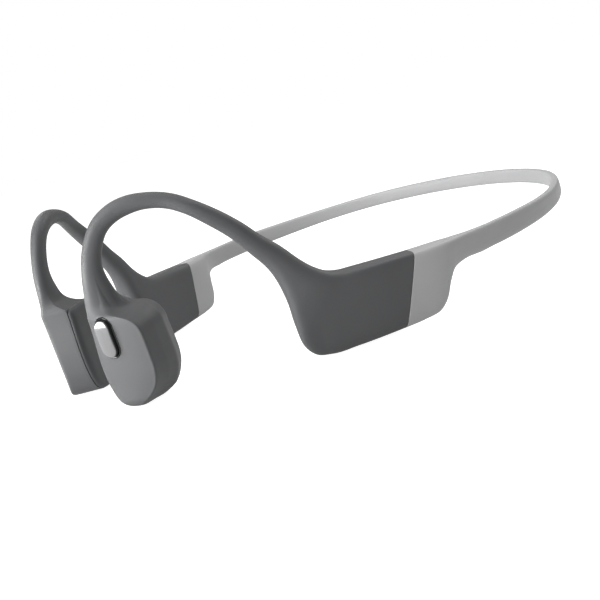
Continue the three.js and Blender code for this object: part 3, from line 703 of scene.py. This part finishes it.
def pill_outline(size, grow=0.0):
    return lambda inset: stadium(size["length"] + 2 * grow, size["width"] + 2 * grow, inset, side=12)


facet = facet_matrix(BUTTON["s"], BUTTON["z"])
left_skin = soft_skin("left_soft_skin", False)
cut(left_skin, stack("window", pill_outline(BEZEL, 0.12), [(0, -2.6), (0, 3.0)], facet))
dress(left_skin, SOFT_GREY, ("left_pod_shell", "left_ear_hook", "left_box_housing"))

bezel_profile = [
    (0.3, -2.4), (0.0, -2.4), (0.0, -0.1), (0.06, 0.06), (0.2, 0.14), (0.34, 0.1), (0.42, 0.0),
    (0.44, -0.15), (0.44, -1.9), (2.3, -2.0),
]
bezel = stack("button_ring", pill_outline(BEZEL), bezel_profile, facet)
dress(bezel, GLOSS_BLACK, ("button_bezel",))
skirt_profile = [(0.3, -1.35), (0.02, -1.3), (0.0, -1.2), (0.0, 0.86), (0.03, 0.93), (0.5, 0.94)]
skirt = stack("button_skirt", pill_outline(BUTTON), skirt_profile, facet)
dress(skirt, GLOSS_BLACK)
cap_profile = [(0.12, 0.8), (0.07, 1.14), (0.08, 1.22), (0.14, 1.29), (0.26, 1.34), (0.42, 1.37)]
cap_profile += [(0.42 + 1.94 * k / 12, 1.37 + 0.12 * (1 - (1 - k / 12) ** 2)) for k in range(1, 13)]
button = stack("button_face", pill_outline(BUTTON), cap_profile, facet, bow=0.32)
dress(button, GLOSS_GREY, ("multifunction_button",))

right_skin = soft_skin("right_soft_skin", True)
LEAN_ANGLE = math.atan(BOX_LEAN)
UNDERSIDE = -29.5
VOLUME = {"length": 4.4, "width": 3.0}
COVER = {"length": 9.0, "width": 3.6, "radius": 0.9}
SOCKET = {"length": 8.9, "width": 3.2}
LENS = {"length": 1.62, "width": 1.6}
KEY_PLACES = (56.8, 62.4)
COVER_PLACE = 70.2
LAMP_PLACE = 80.0


def underside(s):
    return place_matrix(s, UNDERSIDE, LEAN_ANGLE)


def sideways(size, grow=0.0):
    """A pill outline that is long in x."""
    return lambda inset: stadium(size["length"] + 2 * grow, size["width"] + 2 * grow, inset)[:, ::-1]


def cover_outline(grow=0.0):
    length = COVER["length"] + 2 * grow
    width = COVER["width"] + 2 * grow
    return lambda inset: rounded_rectangle(length, width, COVER["radius"] + grow, inset)


KEY_GAP = 0.14                   # round the volume keys and the port's cover
LENS_GAP = 0.1
tools = []
for s in KEY_PLACES:
    tools.append(stack("tool", sideways(VOLUME, KEY_GAP), [(0, -2), (0, 3.3)], underside(s), True))
tools.append(stack("tool", cover_outline(KEY_GAP), [(0, -2), (0, 9.2)], underside(COVER_PLACE), True))
cut(right_skin, *tools)
dress(right_skin, SOFT_GREY, ("right_pod_shell", "right_ear_hook", "right_box_housing"))

key_profile = [(0.3, 2.2), (0, 2.1), (0, 0.55), (0.05, 0.38), (0.2, 0.27), (0.45, 0.23)]
key_profile += [(0.45 + 1.0 * k / 6, 0.23 - 0.03 * k / 6) for k in range(1, 7)]


def raised_bar(name, s, length, width, along):
    """A raised stroke of a plus or minus on a volume button."""
    size = {"length": length, "width": width}
    outline = sideways(size) if along else pill_outline(size)
    return stack(name, outline, [(0.0, 0.6), (0.0, 0.14), (0.06, 0.08), (0.14, 0.07)], underside(s), True)


keys = []
for which, s in zip(("up", "down"), KEY_PLACES):
    key = stack(f"volume_{which}_key", sideways(VOLUME), key_profile, underside(s), True)
    dress(key, PAD_GREY, (f"volume_{which}_button",))
    marks = [raised_bar(f"volume_{which}_mark", s, 1.6, 0.34, True)]
    if which == "up":
        marks.append(raised_bar("volume_up_mark_cross", s, 1.6, 0.34, False))
    for mark in marks:
        dress(mark, BLACK)
    keys.append((which, key, marks))

flap_profile = [(0.5, 1.3), (0.05, 1.28), (0, 1.2), (0, 0.42), (0.06, 0.24), (0.22, 0.12), (0.5, 0.08),
                (1.2, 0.07)]
flap = stack("port_flap", cover_outline(), flap_profile, underside(COVER_PLACE), True)
dress(flap, PAD_GREY, ("port_cover",))
socket_profile = [(0.4, 8.4), (0.0, 8.3), (0.0, 2.3), (0.06, 2.2), (0.24, 2.2), (0.3, 2.28), (0.3, 7.6),
                  (1.4, 7.65)]
socket = stack("charging_shell", sideways(SOCKET), socket_profile, underside(COVER_PLACE), True)
dress(socket, STEEL, ("charging_socket",))
lens = stack("lamp_lens", sideways(LENS),
             [(0.1, 2.4), (0, 2.3), (0, 0.3), (0.08, 0.18), (0.3, 0.11), (0.6, 0.09)],
             underside(LAMP_PLACE), True)
dress(lens, LAMP, ("status_light",))

neckband = neckband_skin("neckband_skin")
cut(neckband, stack("tool", sideways(LENS, LENS_GAP), [(0, -2), (0, 2.6)], underside(LAMP_PLACE), True))
dress(neckband, PALE_GREY,
      ("left_rear_cap", "right_rear_cap", "left_band_sleeve", "right_band_sleeve"))
pads = [skin_pad("left_cheek_pad", False), skin_pad("right_cheek_pad", True)]
for side, pad in zip(("left", "right"), pads):
    dress(pad, PAD_GREY, (f"{side}_skin_pad",))

# ---- carried-over CAD nodes --------------------------------------------------------------
SLOT_FINISH = {
    "steel": STEEL, "magnet_metal": MAGNET, "copper": COPPER, "titanium": TITANIUM, "cable_black": CABLE,
    "battery_foil": FOIL, "board_green": BOARD, "black_plastic": BLACK, "lamp_clear": LAMP,
    "pad_grey": PAD_GREY, "soft_grey": SOFT_GREY, "pale_grey": PALE_GREY, "gloss_grey": GLOSS_GREY,
}
for subpart in frame["record"]["subparts"]:
    data = frame["nodes"][subpart["node"]].data
    data.materials.clear()
    data.materials.append(SLOT_FINISH[subpart["material_slot"]])

# ---- what each piece moves with ----------------------------------------------------------
for side, skin, sign in (("left", left_skin, 1), ("right", right_skin, -1)):
    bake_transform(skin)
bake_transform(neckband)
for side, pad in zip(("left", "right"), pads):
    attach(pad, f"{side}_pod")
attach(bezel, "left_pod")
for piece in (skirt, button):
    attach(piece, "multifunction_button")
for which, key, marks in keys:
    for piece in (key, *marks):
        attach(piece, f"volume_{which}_button")
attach(flap, "port_cover")
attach(socket, "right_side")
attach(lens, "right_side")

# ---- stage -------------------------------------------------------------------------------
FLOOR_RADIUS = 6.0
FLOOR_SEEN = 0.95                # the floor's own light as the camera sees it
FLOOR_GLOW = 0.5                 # and as it falls on the object
WORLD_SEEN = 1.0                 # the same two for the surroundings
WORLD_GLOW = 0.42


def stage_floor():
    """A plain pale floor, which glows a little like a light table."""
    mesh = bpy.data.meshes.new("floor")
    work = bmesh.new()
    bmesh.ops.create_circle(work, cap_ends=True, segments=96, radius=FLOOR_RADIUS)
    work.to_mesh(mesh)
    work.free()
    floor = bpy.data.objects.new("floor", mesh)
    bpy.context.scene.collection.objects.link(floor)
    material = bpy.data.materials.new("floor_pale")
    material.use_nodes = True
    shader = material.node_tree.nodes["Principled BSDF"]
    shader.inputs["Base Color"].default_value = (0.4, 0.4, 0.4, 1)
    shader.inputs["Roughness"].default_value = 0.9
    shader.inputs["Specular IOR Level"].default_value = 0.0
    shader.inputs["Emission Color"].default_value = (1, 1, 1, 1)
    nodes, links = material.node_tree.nodes, material.node_tree.links
    path = nodes.new("ShaderNodeLightPath")
    strength = nodes.new("ShaderNodeMath")
    strength.operation = "MULTIPLY_ADD"
    strength.inputs[1].default_value = FLOOR_SEEN - FLOOR_GLOW
    strength.inputs[2].default_value = FLOOR_GLOW
    links.new(path.outputs["Is Camera Ray"], strength.inputs[0])
    links.new(strength.outputs[0], shader.inputs["Emission Strength"])
    mesh.materials.append(material)


def softbox(name, at, towards, size, power):
    light = bpy.data.lights.new(name, "AREA")
    light.shape = "RECTANGLE"
    light.size, light.size_y = size
    light.energy = power
    obj = bpy.data.objects.new(name, light)
    obj.location = at
    obj.rotation_euler = (Vector(towards) - Vector(at)).to_track_quat("-Z", "Y").to_euler()
    obj.visible_camera = False
    bpy.context.scene.collection.objects.link(obj)


CENTRE = (0.02, 0.0, 0.02)
BUTTON_AT = (0.022, -0.075, 0.03)


def studio():
    world = bpy.data.worlds.new("studio")
    world.use_nodes = True
    nodes, links = world.node_tree.nodes, world.node_tree.links
    background = nodes["Background"]
    background.inputs["Color"].default_value = (1, 1, 1, 1)
    background.inputs["Strength"].default_value = WORLD_GLOW
    seen = nodes.new("ShaderNodeBackground")
    seen.inputs["Color"].default_value = (1, 1, 1, 1)
    seen.inputs["Strength"].default_value = WORLD_SEEN
    path = nodes.new("ShaderNodeLightPath")
    mix = nodes.new("ShaderNodeMixShader")
    links.new(path.outputs["Is Camera Ray"], mix.inputs["Fac"])
    links.new(background.outputs[0], mix.inputs[1])
    links.new(seen.outputs[0], mix.inputs[2])
    links.new(mix.outputs[0], nodes["World Output"].inputs["Surface"])
    bpy.context.scene.world = world
    softbox("key_front", (-0.14, -0.61, 0.13), CENTRE, (0.46, 0.28), 2.7)
    softbox("button_glint", (-0.066, -0.322, 0.054), BUTTON_AT, (0.17, 0.10), 0.85)
    softbox("low_front_left", (-0.20, -0.30, 0.03), CENTRE, (0.30, 0.05), 0.3)
    softbox("high_front", (0.02, -0.50, 0.44), CENTRE, (0.30, 0.30), 2.2)
    softbox("high_side", (-0.48, 0.0, 0.44), CENTRE, (0.30, 0.30), 0.8)
    softbox("rim_back", (0.0, 0.55, 0.5), CENTRE, (0.60, 0.40), 2.0)
    softbox("top", (0.0, 0.0, 0.8), CENTRE, (0.60, 0.60), 3.4)


# The camera stands at the wearer's front left, a little above the object.
# These are in the design frame, in mm.
CAMERA_AT = (260.85, -112.02, 46.78)
CAMERA_RIGHT = (0.587376, 0.747529, -0.310144)
CAMERA_UP = (-0.000397, 0.383476, 0.92355)
CAMERA_FORWARD = (-0.809316, 0.54235, -0.22554)
FOCAL_MM = 60.0
SENSOR_MM = 36.0


def photographer():
    data = bpy.data.cameras.new("camera")
    data.lens = FOCAL_MM
    data.sensor_width = SENSOR_MM
    data.clip_start = 0.01
    data.clip_end = 50.0
    camera = bpy.data.objects.new("camera", data)
    axes = [row_direction(v) for v in (CAMERA_RIGHT, CAMERA_UP, [-v for v in CAMERA_FORWARD])]
    camera.matrix_world = Matrix.Translation(row(CAMERA_AT)) @ Matrix(axes).transposed().to_4x4()
    bpy.context.scene.collection.objects.link(camera)
    bpy.context.scene.camera = camera


stage_floor()
studio()
photographer()
bpy.context.scene.view_settings.view_transform = "Standard"
